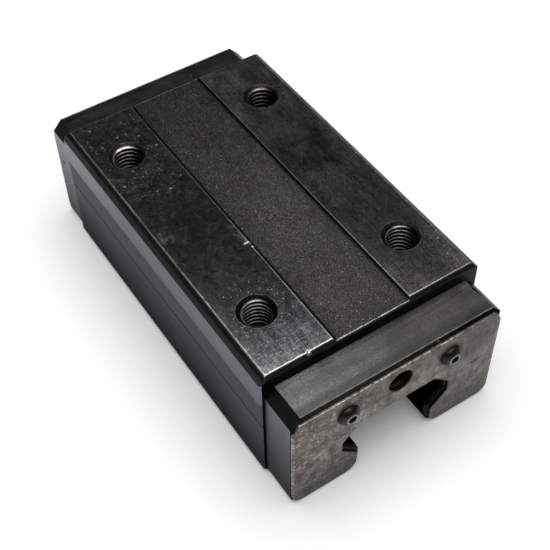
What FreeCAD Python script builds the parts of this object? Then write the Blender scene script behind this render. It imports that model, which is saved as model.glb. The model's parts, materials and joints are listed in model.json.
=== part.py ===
import FreeCAD, Part
import math
import os

# Linear guide block: a ball-circulating carriage for a profile rail.
# Frame: X along the travel, +X is the front end; Y across; Z up.
# Origin: centre of the underside, so the block stands on z = 0.
# Sections are drawn as (y, h), where h is the depth below the mounting pads.

V = FreeCAD.Vector

# ------------------------------------------------------------------ driving dimensions (mm)
HEIGHT = 37.4            # underside to mounting pads
BODY_L = 93.0            # steel body, along X
BODY_W = 60.0            # over the ground datum bands
TOP_CHAMFER = 2.0        # long top edges
END_CHAMFER = 1.0        # top edges at the two ends
CORNER_BREAK = 0.5       # upright end edges
EDGE_R = 0.3             # worn round on the top edges
BAND_HALF = 10.0         # recessed centre band, half width at its floor
BAND_DEPTH = 0.6
BAND_SLOPE = 0.4         # sideways run of the band's walls
DATUM_H = 9.1            # lower edge of the ground side band
SIDE_RELIEF = 0.25       # the side below the band is set back by this
LINE_H = 17.6            # fine groove along the side
LINE_W = 0.34
LINE_D = 0.22
FOOT_CHAMFER_H = 35.4    # the lower edge of the side starts to slope here
FOOT_CHAMFER = 2.0
# knocks in the body: spheres at (x, y, height above the pads, radius)
PAD_KNOCKS = [(45.75, -16.9, 0.36, 0.62), (13.5, -10.45, 0.22, 0.45)]
PAD_SCORE = (11.8, -11.8, 11.6, -9.9, 0.2, 0.35)   # short groove over the band's edge: x, y to x, y, height, radius
SIDE_PIT = (-28.6, 12.5, 0.5, 0.3)                 # x, h, radius, centre out from the side
CAP_PIT = (-53.5, 16.25, 0.7, 0.4)                 # the same on the rear cap's left side
CAP_CHIP = [(47.3, 27.2), (47.6, 26.5), (49.7, 25.9), (50.7, 26.2), (52.3, 26.65), (52.3, 27.2)]   # x, y on the front cap's right edge
CAP_CHIP_H = 4.85                                  # floor of the chip

BOLT_X = 60.0            # M8 hole spacing along X
BOLT_Y = 40.0            # M8 hole spacing along Y
M8_R = 4.0               # hole wall; the thread ridges stand inside it
M8_DEPTH = 10.0
M8_MOUTH_R = 4.75        # countersunk mouth

RAIL_HALF = 14.0         # the rail this block runs on: head half width
RAIL_NECK = 9.5          # rail waist half width
RAIL_TOP_H = 19.3        # rail top below the pads
RAIL_UP = 9.24           # upper flank: h = y + RAIL_UP
RAIL_LOW = 39.56         # lower flank: h + y = RAIL_LOW

BALL_D = 4.7625
TRACK_R = 2.58           # wall radius of every ball channel
N_STRAIGHT = 18          # balls in a straight run
N_TURN = 3               # balls in a turn
ROW_Y = 13.08            # loaded rows
ROW_UP_H = 20.22
ROW_LOW_H = 28.58
TILT = math.radians(10.0)   # the turn planes lean up and down by this

PITCH = BODY_L / N_STRAIGHT
TURN_R = N_TURN * PITCH / math.pi

CAP_L = 9.85             # end cap, along X
CAP_TOP_H = 4.2
CAP_TOP_HALF = 26.3
CAP_SHOULDER_H = 6.95
CAP_HALF = 28.85
CAP_BOT_H = 37.2
CAP_FOOT_R = 1.7
CAP_INNER_FOOT_R = 3.0
CAP_GAP = 0.5            # cap opening to rail
CAP_EDGE = 0.15          # bevel round the cap's front face
CAP_LONG_R = 0.25        # round on the cap's long top edges

PLATE_T = 0.85           # steel end plate
PLATE_TOP_H = 5.85
PLATE_TOP_HALF = 27.1
PLATE_SHOULDER_H = 8.8
PLATE_HALF = 28.75
PLATE_DROP = 0.35        # the plate's opening sits this much lower than the rail's outline
PLATE_BOT_H = 37.1
PLATE_FOOT_R = 3.0
PLATE_INNER_FOOT_R = 3.4
PLATE_GAP = 1.2          # plate opening to rail
PLATE_EDGE_R = 0.4

SEAL_T = 1.0             # rubber wiper behind the plate
SEAL_GAP = 0.6
SEAL_BAND = 3.6
SEAL_BOT_H = 34.5

PORT_H = 10.65           # grease port
PORT_PLATE_R = 3.05
PORT_R = 2.6
GALLERY_D = 1.4          # grease gallery on the cap's inner face

SCREW_Y = 14.2           # end cap screws, M3 button head
SCREW_H = 11.8
M3_R = 1.5
M3_CLEAR_R = 1.65
M3_DEPTH = 10.0
HEAD_R = 2.85
HEAD_K = 1.65
HEX_AF = 2.0
HEX_DEPTH = 1.05

GUIDE_R = 3.9            # return guide: half-round spool inside the turn
GUIDE_HALF = 2.9
WEB_HALF = 2.0
WEB_L = 1.9

ROOF_H = 17.0            # rail channel in the body
BODY_FLANK = 2.58        # body flank to rail flank
WALL_Y = 16.4
NECK_Y = 12.6
LIP_GAP = 0.35           # retainer lips to rail flank
RET_BOT_H = 18.6         # underside of the upper retainer
SIDE_RET_Y = 14.45
LOW_RET_Y = 10.1
LOW_RET_BOT_H = 33.5
FOOT_SLOT_Y = 16.6       # seat of the bottom seals
FOOT_SLOT_H = 36.2

S2 = math.sqrt(2.0)
XE = BODY_L / 2.0        # end face of the steel body
XC = XE + CAP_L          # front face of the cap
XP = XC + PLATE_T        # front face of the steel plate

os.makedirs("parts", exist_ok=True)


# ------------------------------------------------------------------ helpers
def prism(pts, x0, x1):
    vs = [V(x0, y, HEIGHT - h) for y, h in pts]
    vs.append(vs[0])
    return Part.Face(Part.makePolygon(vs)).extrude(V(x1 - x0, 0, 0))


def both(half):
    return half + [(-y, h) for y, h in reversed(half)]


def rod_x(y, h, r, x0, x1):
    return Part.makeCylinder(r, x1 - x0, V(x0, y, HEIGHT - h), V(1, 0, 0))


def rod_z(x, y, r, h0, h1):
    return Part.makeCylinder(r, h1 - h0, V(x, y, HEIGHT - h1), V(0, 0, 1))


def flip_y(shape):
    return shape.mirror(V(0, 0, 0), V(0, 1, 0))


def flip_x(shape):
    return shape.mirror(V(0, 0, 0), V(1, 0, 0))


def long_edges(shape, spots, tol=0.02):
    """Edges along X that stand at the given (y, h) spots, on both sides."""
    found = []
    for e in shape.Edges:
        if len(e.Vertexes) != 2:
            continue
        a, b = e.Vertexes[0].Point, e.Vertexes[1].Point
        if abs(a.y - b.y) > 1e-6 or abs(a.z - b.z) > 1e-6:
            continue
        for y, h in spots:
            if abs(abs(a.y) - y) < tol and abs(HEIGHT - a.z - h) < tol:
                found.append(e)
    return found


def face_edges(shape, x):
    """Edges that lie in the plane at x."""
    return [e for e in shape.Edges
            if abs(e.BoundBox.XMin - x) < 1e-5 and abs(e.BoundBox.XMax - x) < 1e-5]


def rail_line(gap, bottom):
    """Half of the rail's outline, grown by gap, from the foot up to the top."""
    k = S2 - 1.0
    return [(RAIL_NECK + gap, bottom),
            (RAIL_NECK + gap, RAIL_LOW - RAIL_NECK + k * gap),
            (RAIL_HALF + gap, RAIL_LOW - RAIL_HALF + k * gap),
            (RAIL_HALF + gap, RAIL_UP + RAIL_HALF - k * gap),
            (RAIL_TOP_H - RAIL_UP + k * gap, RAIL_TOP_H - gap)]


def one(shape):
    """The single solid of a boolean result."""
    s = shape.removeSplitter()
    solids = s.Solids
    if len(solids) != 1:
        raise ValueError("expected one solid, got %d" % len(solids))
    return solids[0]


def save(node, shape):
    if not shape.isValid():
        raise ValueError(node + " is not valid")
    shape.exportStep("parts/%s.step" % node)
    print("%-28s solids %3d  volume %10.2f" % (node, len(shape.Solids), shape.Volume))


# ------------------------------------------------------------------ ball circuits
class Circuit:
    """One endless row: loaded run, return run and two half-round turns."""

    def __init__(self, side, upper):
        self.sy = side
        self.up = 1.0 if upper else -1.0
        self.loaded = V(0, side * ROW_Y, HEIGHT - (ROW_UP_H if upper else ROW_LOW_H))
        self.d = V(0, side * math.cos(TILT), self.up * math.sin(TILT))
        self.back = self.loaded + self.d * (2.0 * TURN_R)
        self.mid = self.loaded + self.d * TURN_R
        self.axis = V(1, 0, 0).cross(self.d)

    def straight(self, p, r, x0, x1):
        return Part.makeCylinder(r, x1 - x0, V(x0, p.y, p.z), V(1, 0, 0))

    def ring(self, x):
        """Half-round turn channel, run a little past the end face at both mouths."""
        over = 6.0
        mid = V(x, self.mid.y, self.mid.z)
        mouth = Part.Face(Part.Wire(Part.Circle(mid - self.d * TURN_R, V(1, 0, 0), TRACK_R).toShape()))
        mouth.rotate(mid, self.axis, -over)
        return mouth.revolve(mid, self.axis, 180.0 + 2.0 * over)

    def spool(self, x):
        base = V(x, self.mid.y, self.mid.z) - self.axis * GUIDE_HALF
        return Part.makeCylinder(GUIDE_R, 2.0 * GUIDE_HALF, base, self.axis)

    def row(self, p):
        return [Part.makeSphere(BALL_D / 2.0, V(-XE + (i + 0.5) * PITCH, p.y, p.z))
                for i in range(N_STRAIGHT)]

    def turn(self, x, way):
        out = []
        for j in range(N_TURN):
            a = (j + 0.5) * math.pi / N_TURN
            c = V(x, self.mid.y, self.mid.z) - self.d * (TURN_R * math.cos(a)) \
                + V(way, 0, 0) * (TURN_R * math.sin(a))
            out.append(Part.makeSphere(BALL_D / 2.0, c))
        return out


CIRCUITS = {
    "upper_right": Circuit(1.0, True),
    "upper_left": Circuit(-1.0, True),
    "lower_right": Circuit(1.0, False),
    "lower_left": Circuit(-1.0, False),
}

# ------------------------------------------------------------------ steel body
half_w = BODY_W / 2.0
set_back = half_w - SIDE_RELIEF
flank_up = RAIL_UP - BODY_FLANK * S2
flank_low = RAIL_LOW + BODY_FLANK * S2
body = prism(both([
    (BAND_HALF, BAND_DEPTH),
    (BAND_HALF + BAND_SLOPE, 0.0),
    (half_w - TOP_CHAMFER, 0.0),
    (half_w, TOP_CHAMFER),
    (half_w, DATUM_H),
    (set_back, DATUM_H + SIDE_RELIEF),
    (set_back, LINE_H - LINE_W / 2.0),
    (set_back - LINE_D, LINE_H),
    (set_back, LINE_H + LINE_W / 2.0),
    (set_back, FOOT_CHAMFER_H),
    (set_back - FOOT_CHAMFER, HEIGHT),
    (FOOT_SLOT_Y, HEIGHT),
    (FOOT_SLOT_Y, FOOT_SLOT_H),
    (NECK_Y, FOOT_SLOT_H),
    (NECK_Y, flank_low - NECK_Y),
    (WALL_Y, flank_low - WALL_Y),
    (WALL_Y, flank_up + WALL_Y),
    (ROOF_H - flank_up, ROOF_H),
]), -XE, XE)

cuts = []
for way in (1.0, -1.0):
    # sloped top edge at each end
    tri = [V(way * (XE - END_CHAMFER - 1.0), -half_w - 1, HEIGHT + 1.0),
           V(way * (XE + 1.0), -half_w - 1, HEIGHT + 1.0),
           V(way * (XE + 1.0), -half_w - 1, HEIGHT - END_CHAMFER - 1.0)]
    cuts.append(Part.Face(Part.makePolygon(tri + tri[:1])).extrude(V(0, BODY_W + 2, 0)))
    for side in (1.0, -1.0):
        # broken upright corner
        k = CORNER_BREAK
        tri = [V(way * (XE - k - 1.0), side * (half_w + 1.0), -1.0),
               V(way * (XE + 1.0), side * (half_w + 1.0), -1.0),
               V(way * (XE + 1.0), side * (half_w - k - 1.0), -1.0)]
        cuts.append(Part.Face(Part.makePolygon(tri + tri[:1])).extrude(V(0, 0, HEIGHT + 2)))
for tool in cuts:
    body = body.cut(tool)
body = one(body)


def worn(e):
    """True for the outer top edges of the pads and the band, which are rubbed round."""
    a, b = e.Vertexes[0].Point, e.Vertexes[-1].Point
    ha, hb = HEIGHT - a.z, HEIGHT - b.z
    tol = 0.02
    if abs(a.y - b.y) < tol and abs(ha - hb) < tol:
        spots = ((half_w - TOP_CHAMFER, 0.0), (BAND_HALF + BAND_SLOPE, 0.0), (half_w, TOP_CHAMFER))
        return any(abs(abs(a.y) - y) < tol and abs(ha - h) < tol for y, h in spots)
    if abs(a.x - b.x) < tol and abs(ha - hb) < tol:
        spots = ((XE - END_CHAMFER, 0.0), (XE - END_CHAMFER + BAND_DEPTH, BAND_DEPTH), (XE, END_CHAMFER))
        return any(abs(abs(a.x) - x) < tol and abs(ha - h) < tol for x, h in spots)
    # short slanting edges where two slopes meet at an end
    return min(abs(a.x), abs(b.x)) > XE - END_CHAMFER - tol and max(ha, hb) < END_CHAMFER + tol


body = body.makeFillet(EDGE_R, [e for e in body.Edges if len(e.Vertexes) == 2 and worn(e)])

cuts = []
for way in (1.0, -1.0):
    for side in (1.0, -1.0):
        # tapped holes for the end cap screws
        x0, x1 = sorted((way * (XE - M3_DEPTH), way * (XE + 1.0)))
        cuts.append(rod_x(side * SCREW_Y, SCREW_H, M3_R, x0, x1))
        tip = M3_R * 0.6
        cuts.append(Part.makeCone(M3_R, 0.0, tip, V(way * (XE - M3_DEPTH), side * SCREW_Y, HEIGHT - SCREW_H),
                                  V(-way, 0, 0)))
        # M8 mounting holes with a drilled tip and a countersunk mouth
        x, y = way * BOLT_X / 2.0, side * BOLT_Y / 2.0
        cuts.append(rod_z(x, y, M8_R, -1.0, M8_DEPTH))
        cuts.append(Part.makeCone(M8_R, 0.0, M8_R * 0.6, V(x, y, HEIGHT - M8_DEPTH), V(0, 0, -1)))
        lip = M8_MOUTH_R - M8_R
        cuts.append(Part.makeCone(M8_R, M8_MOUTH_R + 0.5, lip + 0.5, V(x, y, HEIGHT - lip), V(0, 0, 1)))
for c in CIRCUITS.values():
    cuts.append(c.straight(c.loaded, TRACK_R, -XE - 1.0, XE + 1.0))
    cuts.append(c.straight(c.back, TRACK_R, -XE - 1.0, XE + 1.0))
for x, y, up, r in PAD_KNOCKS:
    cuts.append(Part.makeSphere(r, V(x, y, HEIGHT + up)))
x0, y0, x1, y1, up, r = PAD_SCORE
score = V(x1 - x0, y1 - y0, 0)
cuts.append(Part.makeCylinder(r, score.Length, V(x0, y0, HEIGHT + up), score))
x, h, r, out = SIDE_PIT
cuts.append(Part.makeSphere(r, V(x, -(set_back + out), HEIGHT - h)))
for tool in cuts:
    body = body.cut(tool)
body = one(body)
save("block_body", body)

# ------------------------------------------------------------------ end caps
cap = prism(both([
    (CAP_TOP_HALF, CAP_TOP_H),
    (CAP_HALF, CAP_SHOULDER_H),
    (CAP_HALF, CAP_BOT_H),
] + rail_line(CAP_GAP, CAP_BOT_H)), XE, XC)
cap = cap.makeFillet(CAP_FOOT_R, long_edges(cap, [(CAP_HALF, CAP_BOT_H)]))
cap = cap.makeFillet(CAP_INNER_FOOT_R, long_edges(cap, [(RAIL_NECK + CAP_GAP, CAP_BOT_H)]))
cap = cap.makeFillet(CAP_LONG_R, long_edges(cap, [(CAP_TOP_HALF, CAP_TOP_H), (CAP_HALF, CAP_SHOULDER_H)]))
cap = cap.makeChamfer(CAP_EDGE, face_edges(cap, XC))

spools = {}
for side, name in ((1.0, "right"), (-1.0, "left")):
    up = CIRCUITS["upper_" + name]
    low = CIRCUITS["lower_" + name]
    y = up.mid.y
    web = Part.makeBox(WEB_L, 2 * WEB_HALF, up.mid.z - low.mid.z, V(XE, y - WEB_HALF, low.mid.z))
    blank = up.spool(XE).fuse([low.spool(XE), web])
    blank = blank.common(Part.makeBox(20, 60, 60, V(XE, -30 if y < 0 else 0, -5)))
    spools[name] = blank
    cap = cap.cut(blank)
for c in CIRCUITS.values():
    cap = cap.cut(c.ring(XE))
cap = cap.cut(prism(both(rail_line(SEAL_BAND, SEAL_BOT_H)), XC - SEAL_T, XC + 1.0))
# the port runs through to the body's end face, where the gallery meets it
cap = cap.cut(rod_x(0, PORT_H, PORT_R, XE - 1.0, XC + 1.0))
for side in (1.0, -1.0):
    cap = cap.cut(rod_x(side * SCREW_Y, SCREW_H, M3_CLEAR_R, XE - 1.0, XC + 1.0))
    # gallery drops into the loaded end of each upper turn
    cap = cap.cut(Part.makeBox(GALLERY_D, 1.6, 3.0, V(XE, side * ROW_Y - 0.8, HEIGHT - 18.3)))
# gallery from the port along the cap's inner face
cap = cap.cut(Part.makeBox(GALLERY_D, 2 * ROW_Y + 1.6, 1.6, V(XE, -ROW_Y - 0.8, HEIGHT - 15.5)))
cap = cap.cut(Part.makeBox(GALLERY_D, 2.4, 15.0 - PORT_H + 1.2, V(XE, -1.2, HEIGHT - 15.0)))
cap = one(cap)
chip = Part.makePolygon([V(x, y, HEIGHT - CAP_CHIP_H) for x, y in CAP_CHIP + CAP_CHIP[:1]])
save("front_end_cap", one(cap.cut(Part.Face(chip).extrude(V(0, 0, 2.0)))))
x, h, r, out = CAP_PIT
save("rear_end_cap", one(flip_x(cap).cut(Part.makeSphere(r, V(x, -(CAP_HALF + out), HEIGHT - h)))))

# ------------------------------------------------------------------ return guides
for name, blank in spools.items():
    g = blank
    for level in ("upper_", "lower_"):
        g = g.cut(CIRCUITS[level + name].ring(XE))
    g = one(g)
    save("front_%s_return_guide" % name, g)
    save("rear_%s_return_guide" % name, flip_x(g))

# ------------------------------------------------------------------ end seals and steel plates
seal = prism(both(rail_line(SEAL_BAND, SEAL_BOT_H)), XC - SEAL_T, XC)
seal = seal.cut(prism(both(rail_line(SEAL_GAP, SEAL_BOT_H + 1.0)), XC - SEAL_T - 1.0, XC + 1.0))
seal = one(seal)
save("front_end_seal", seal)
save("rear_end_seal", flip_x(seal))

plate_inner = [(y, h if h == PLATE_BOT_H else h + PLATE_DROP) for y, h in rail_line(PLATE_GAP, PLATE_BOT_H)]
plate = prism(both([
    (PLATE_TOP_HALF, PLATE_TOP_H),
    (PLATE_HALF, PLATE_SHOULDER_H),
    (PLATE_HALF, PLATE_BOT_H),
] + plate_inner), XC, XP)
plate = plate.makeFillet(PLATE_FOOT_R, long_edges(plate, [(PLATE_HALF, PLATE_BOT_H)]))
plate = plate.makeFillet(PLATE_INNER_FOOT_R, long_edges(plate, [plate_inner[0]]))
plate = plate.makeFillet(0.7, long_edges(plate, plate_inner[1:] + [(PLATE_HALF, PLATE_SHOULDER_H),
                                                                  (PLATE_TOP_HALF, PLATE_TOP_H)]))
plate = plate.makeFillet(PLATE_EDGE_R, face_edges(plate, XP))
plate = plate.cut(rod_x(0, PORT_H, PORT_PLATE_R, XC - 1.0, XP + 1.0))
port_rim = [e for e in face_edges(plate, XP) if abs(e.BoundBox.YMax - PORT_PLATE_R) < 0.05]
plate = plate.makeChamfer(0.25, port_rim)
for side in (1.0, -1.0):
    plate = plate.cut(rod_x(side * SCREW_Y, SCREW_H, M3_CLEAR_R, XC - 1.0, XP + 1.0))
plate = one(plate)
save("front_seal_plate", plate)
save("rear_seal_plate", flip_x(plate))

# ------------------------------------------------------------------ end cap screws
prof = Part.Wire([
    Part.LineSegment(V(XE - M3_DEPTH + 1.0, 0, 0), V(XE - M3_DEPTH + 1.0, 0, M3_R - 0.4)).toShape(),
    Part.LineSegment(V(XE - M3_DEPTH + 1.0, 0, M3_R - 0.4), V(XE - M3_DEPTH + 1.4, 0, M3_R)).toShape(),
    Part.LineSegment(V(XE - M3_DEPTH + 1.4, 0, M3_R), V(XP, 0, M3_R)).toShape(),
    Part.LineSegment(V(XP, 0, M3_R), V(XP, 0, HEAD_R)).toShape(),
    Part.LineSegment(V(XP, 0, HEAD_R), V(XP + 0.25, 0, HEAD_R)).toShape(),
    Part.Arc(V(XP + 0.25, 0, HEAD_R), V(XP + 1.15, 0, HEAD_R * 0.80), V(XP + HEAD_K, 0, HEAD_R * 0.50)).toShape(),
    Part.LineSegment(V(XP + HEAD_K, 0, HEAD_R * 0.50), V(XP + HEAD_K, 0, 0)).toShape(),
    Part.LineSegment(V(XP + HEAD_K, 0, 0), V(XE - M3_DEPTH + 1.0, 0, 0)).toShape(),
])
screw = Part.Face(prof).revolve(V(0, 0, 0), V(1, 0, 0), 360)
screw = Part.Solid(screw) if screw.ShapeType == "Shell" else screw
hex_r = HEX_AF / math.sqrt(3.0)
ring = [V(XP + HEAD_K - HEX_DEPTH, hex_r * math.cos(math.radians(60 * i + 12)), hex_r * math.sin(math.radians(60 * i + 12)))
        for i in range(6)]
screw = screw.cut(Part.Face(Part.makePolygon(ring + ring[:1])).extrude(V(HEX_DEPTH + 1.0, 0, 0)))
screw = one(screw)
screws = []
for side in (1.0, -1.0):
    s = screw.copy()
    s.translate(V(0, side * SCREW_Y, HEIGHT - SCREW_H))
    screws += [s, flip_x(s)]
save("cap_screws", Part.makeCompound(screws))

# ------------------------------------------------------------------ ball retainers and bottom seals
lip_up = RAIL_UP - LIP_GAP * S2
lip_low = RAIL_LOW + LIP_GAP * S2


def foot_on(row_h, c, rising):
    """Foot of the row's centre on the flank line h = y + c, or h + y = c."""
    t = (c + ROW_Y - row_h) / 2.0 if rising else (c - ROW_Y - row_h) / 2.0
    return (ROW_Y - t, row_h + t) if rising else (ROW_Y + t, row_h + t)


body_up = foot_on(ROW_UP_H, flank_up, True)
body_low = foot_on(ROW_LOW_H, flank_low, False)
rail_up = foot_on(ROW_UP_H, lip_up, True)
rail_low = foot_on(ROW_LOW_H, lip_low, False)
tubes = [c.straight(c.loaded, TRACK_R, -XE - 1.0, XE + 1.0) for c in CIRCUITS.values()]


def clear_rows(shape):
    for t in tubes:
        shape = shape.cut(t)
    return one(shape)


upper = clear_rows(prism(both([
    (ROOF_H - flank_up, ROOF_H), body_up, rail_up, (RET_BOT_H - lip_up, RET_BOT_H)]), -XE, XE))
save("upper_ball_retainer", upper)

side_ret = clear_rows(prism([
    body_up, (WALL_Y, flank_up + WALL_Y), (WALL_Y, flank_low - WALL_Y), body_low,
    rail_low, (SIDE_RET_Y, lip_low - SIDE_RET_Y), (SIDE_RET_Y, SIDE_RET_Y + lip_up), rail_up], -XE, XE))
save("right_side_retainer", side_ret)
save("left_side_retainer", flip_y(side_ret))

low_ret = clear_rows(prism([
    body_low, (NECK_Y, flank_low - NECK_Y), (NECK_Y, LOW_RET_BOT_H), (LOW_RET_Y + 0.5, LOW_RET_BOT_H),
    (LOW_RET_Y, LOW_RET_BOT_H - 0.5), (LOW_RET_Y, lip_low - LOW_RET_Y), rail_low], -XE, XE))
save("right_lower_retainer", low_ret)
save("left_lower_retainer", flip_y(low_ret))

foot = prism([
    (FOOT_SLOT_Y, FOOT_SLOT_H), (FOOT_SLOT_Y, FOOT_SLOT_H + 0.95), (12.2, FOOT_SLOT_H + 0.95),
    (RAIL_NECK + 0.8, FOOT_SLOT_H + 0.35), (RAIL_NECK + 0.6, FOOT_SLOT_H)], -XE, XE)
save("right_bottom_seal", foot)
save("left_bottom_seal", flip_y(foot))

# ------------------------------------------------------------------ balls
for name, c in CIRCUITS.items():
    save(name + "_loaded_balls", Part.makeCompound(c.row(c.loaded)))
    save(name + "_return_balls", Part.makeCompound(c.row(c.back)))
    save(name + "_front_turn_balls", Part.makeCompound(c.turn(XE, 1.0)))
    save(name + "_rear_turn_balls", Part.makeCompound(c.turn(-XE, -1.0)))
    print(name, "mid", c.mid.y, c.mid.z, "axis", tuple(c.axis), "turn r", TURN_R, "pitch", PITCH)
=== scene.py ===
import json
import math

import bpy
from mathutils import Matrix, Vector


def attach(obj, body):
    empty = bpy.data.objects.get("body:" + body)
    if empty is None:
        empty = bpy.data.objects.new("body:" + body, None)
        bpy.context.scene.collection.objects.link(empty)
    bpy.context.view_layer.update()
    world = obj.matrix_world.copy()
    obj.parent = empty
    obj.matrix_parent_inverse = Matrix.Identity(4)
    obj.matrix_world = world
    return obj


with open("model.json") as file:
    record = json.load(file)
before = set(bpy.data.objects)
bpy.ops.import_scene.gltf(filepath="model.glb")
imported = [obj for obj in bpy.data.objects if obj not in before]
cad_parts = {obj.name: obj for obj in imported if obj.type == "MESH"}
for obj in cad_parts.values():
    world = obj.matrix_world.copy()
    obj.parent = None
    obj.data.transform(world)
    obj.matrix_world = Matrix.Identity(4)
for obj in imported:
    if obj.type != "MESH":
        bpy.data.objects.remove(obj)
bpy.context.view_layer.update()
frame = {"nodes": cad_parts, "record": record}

NODES = frame["nodes"]
scene = bpy.context.scene

# Sizes in millimetres that the finishes are placed by; the frame itself is in metres.
TOP = 37.4          # mounting pads
END = 46.5          # end face of the steel body
CAP = 56.35         # front face of a cap
HOLE_X, HOLE_Y = 30.0, 20.0
# larger nicks on the left pad: x, y, radius
NICKS = [(-13.6, -16.8, 0.62), (-35.6, -24.0, 0.66), (-43.1, -23.8, 0.60), (-29.2, -12.0, 0.50), (-34.6, -13.9, 0.50),
         (-37.1, -18.9, 0.52), (-36.9, -16.7, 0.44), (-20.6, -25.8, 0.50), (-14.7, -19.9, 0.58), (-16.5, -12.4, 0.46)]


# ------------------------------------------------------------------ node helpers
class Net:
    """A material and short names for the nodes that it is made of. Positions are in mm."""

    def __init__(self, name):
        self.mat = bpy.data.materials.new(name)
        self.mat.use_nodes = True
        self.tree = self.mat.node_tree
        self.tree.nodes.clear()
        out = self.new("ShaderNodeOutputMaterial")
        self.bsdf = self.new("ShaderNodeBsdfPrincipled")
        self.tree.links.new(self.bsdf.outputs[0], out.inputs["Surface"])
        coord = self.new("ShaderNodeTexCoord")
        self.p = self.vec("SCALE", coord.outputs["Object"], scale=1000.0)
        sep = self.new("ShaderNodeSeparateXYZ")
        self.put(sep.inputs[0], self.p)
        self.x, self.y, self.z = sep.outputs
        geo = self.new("ShaderNodeNewGeometry")
        sep = self.new("ShaderNodeSeparateXYZ")
        self.put(sep.inputs[0], geo.outputs["True Normal"])
        self.nx, self.ny, self.nz = sep.outputs
        self.seed = 0.0

    def new(self, kind):
        return self.tree.nodes.new(kind)

    def put(self, socket, value):
        if isinstance(value, bpy.types.NodeSocket):
            self.tree.links.new(value, socket)
        elif isinstance(value, (tuple, list)) and len(value) == 3 and len(socket.default_value) == 4:
            socket.default_value = (*value, 1.0)
        else:
            socket.default_value = value

    def set(self, **sockets):
        names = {"color": "Base Color", "metal": "Metallic", "rough": "Roughness", "ior": "IOR",
                 "spec": "Specular IOR Level", "tint": "Specular Tint", "normal": "Normal",
                 "coat": "Coat Weight", "coat_rough": "Coat Roughness"}
        for key, value in sockets.items():
            self.put(self.bsdf.inputs[names[key]], value)
        return self.mat

    def f(self, op, a, b=None, c=None, clamp=False):
        n = self.new("ShaderNodeMath")
        n.operation = op
        n.use_clamp = clamp
        for i, v in enumerate((a, b, c)):
            if v is not None:
                self.put(n.inputs[i], v)
        return n.outputs[0]

    def vec(self, op, a, b=None, scale=None):
        n = self.new("ShaderNodeVectorMath")
        n.operation = op
        self.put(n.inputs[0], a)
        if b is not None:
            self.put(n.inputs[1], b)
        if scale is not None:
            n.inputs["Scale"].default_value = scale
        return n.outputs[0]

    def add(self, *v):
        out = v[0]
        for w in v[1:]:
            out = self.f("ADD", out, w)
        return out

    def sub(self, a, b):
        return self.f("SUBTRACT", a, b)

    def mul(self, *v):
        out = v[0]
        for w in v[1:]:
            out = self.f("MULTIPLY", out, w)
        return out

    def top(self, *v):
        out = v[0]
        for w in v[1:]:
            out = self.f("MAXIMUM", out, w)
        return out

    def abs(self, a):
        return self.f("ABSOLUTE", a)

    def inv(self, a):
        return self.f("SUBTRACT", 1.0, a)

    def rise(self, v, lo, hi, smooth=True):
        """0 below lo, 1 above hi. lo above hi gives a fall."""
        n = self.new("ShaderNodeMapRange")
        n.interpolation_type = "SMOOTHSTEP" if smooth else "LINEAR"
        n.clamp = True
        flip = isinstance(lo, float) and isinstance(hi, float) and lo > hi
        a, b = (hi, lo) if flip else (lo, hi)
        self.put(n.inputs[0], v)
        self.put(n.inputs[1], a)
        self.put(n.inputs[2], b)
        n.inputs[3].default_value = 1.0 if flip else 0.0
        n.inputs[4].default_value = 0.0 if flip else 1.0
        return n.outputs[0]

    def span(self, v, a, b, soft):
        """1 between a and b, with soft edges outside them."""
        return self.mul(self.rise(v, a - soft, a), self.rise(v, b + soft, b))

    def remap(self, v, lo, hi, a, b):
        n = self.new("ShaderNodeMapRange")
        n.clamp = True
        self.put(n.inputs[0], v)
        for i, w in enumerate((lo, hi, a, b), 1):
            self.put(n.inputs[i], w)
        return n.outputs[0]

    def mixf(self, fac, a, b):
        n = self.new("ShaderNodeMix")
        n.data_type = "FLOAT"
        self.put(n.inputs[0], fac)
        self.put(n.inputs[2], a)
        self.put(n.inputs[3], b)
        return n.outputs[0]

    def mixc(self, fac, a, b, blend="MIX"):
        n = self.new("ShaderNodeMix")
        n.data_type = "RGBA"
        n.blend_type = blend
        self.put(n.inputs[0], fac)
        self.put(n.inputs[6], a)
        self.put(n.inputs[7], b)
        return n.outputs[2]

    def scaled(self, color, k):
        """A colour times a varying brightness."""
        n = self.new("ShaderNodeVectorMath")
        n.operation = "SCALE"
        if isinstance(color, tuple):
            n.inputs[0].default_value = color
        else:
            self.put(n.inputs[0], color)
        self.put(n.inputs["Scale"], k)
        return n.outputs[0]

    def at(self, sx, sy, sz):
        """Position times per-axis frequency (1/mm), each call shifted to a new place."""
        self.seed += 1.0
        v = self.vec("MULTIPLY", self.p, (sx, sy, sz))
        return self.vec("ADD", v, (17.3 * self.seed, 9.1 * self.seed, 31.7 * self.seed))

    def noise(self, sx, sy=None, sz=None, detail=3.0, rough=0.55, warp=0.0):
        n = self.new("ShaderNodeTexNoise")
        n.inputs["Scale"].default_value = 1.0
        n.inputs["Detail"].default_value = detail
        n.inputs["Roughness"].default_value = rough
        n.inputs["Distortion"].default_value = warp
        self.put(n.inputs["Vector"], self.at(sx, sx if sy is None else sy, sx if sz is None else sz))
        return n.outputs["Fac"]

    def noise_on(self, a, b, c, detail=3.0, rough=0.55):
        """Noise over three values of one's own, such as a radius and an angle."""
        v = self.new("ShaderNodeCombineXYZ")
        for i, w in enumerate((a, b, c)):
            self.put(v.inputs[i], w)
        n = self.new("ShaderNodeTexNoise")
        n.inputs["Scale"].default_value = 1.0
        n.inputs["Detail"].default_value = detail
        n.inputs["Roughness"].default_value = rough
        self.put(n.inputs["Vector"], v.outputs[0])
        return n.outputs["Fac"]

    def blot(self, a, b, ra, rb):
        """A soft round patch: a and b are the offsets from its middle, ra and rb its radii."""
        a, b = self.mul(a, 1.0 / ra), self.mul(b, 1.0 / rb)
        return self.rise(self.f("SQRT", self.add(self.mul(a, a), self.mul(b, b))), 1.0, 0.25)

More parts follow.
